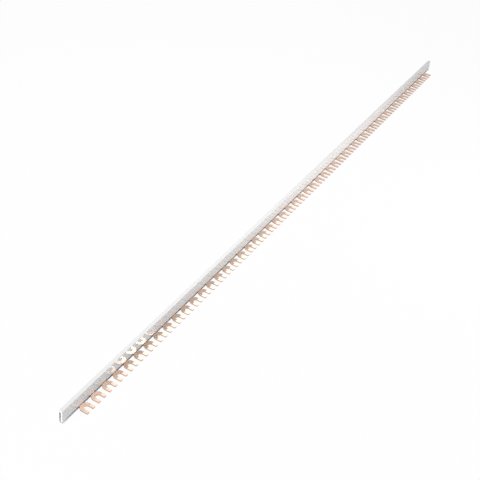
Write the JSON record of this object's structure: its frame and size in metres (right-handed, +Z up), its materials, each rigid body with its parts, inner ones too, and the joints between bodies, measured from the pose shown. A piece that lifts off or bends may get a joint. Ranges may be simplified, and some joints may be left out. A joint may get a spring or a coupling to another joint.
{
  "type": "comb busbar",
  "caption": "Fork-type comb busbar: a flat copper comb held in a grey J-shaped insulating profile, linking the terminals of circuit breakers side by side on a rail.",
  "frame": {"origin": "centre of the footprint, level with the underside of the profile", "axes": "+X along the bar, the forks point to -Y, +Z up from the forks to the closed top of the profile"},
  "size_m": [1, 0.0164, 0.0154],
  "materials": {
    "insulation": "smooth extruded light grey plastic",
    "copper": "bare stamped copper, satin"
  },
  "bodies": {
    "root": {"insulating_profile": "insulation", "copper_comb": "copper"}
  },
  "joints": []
}
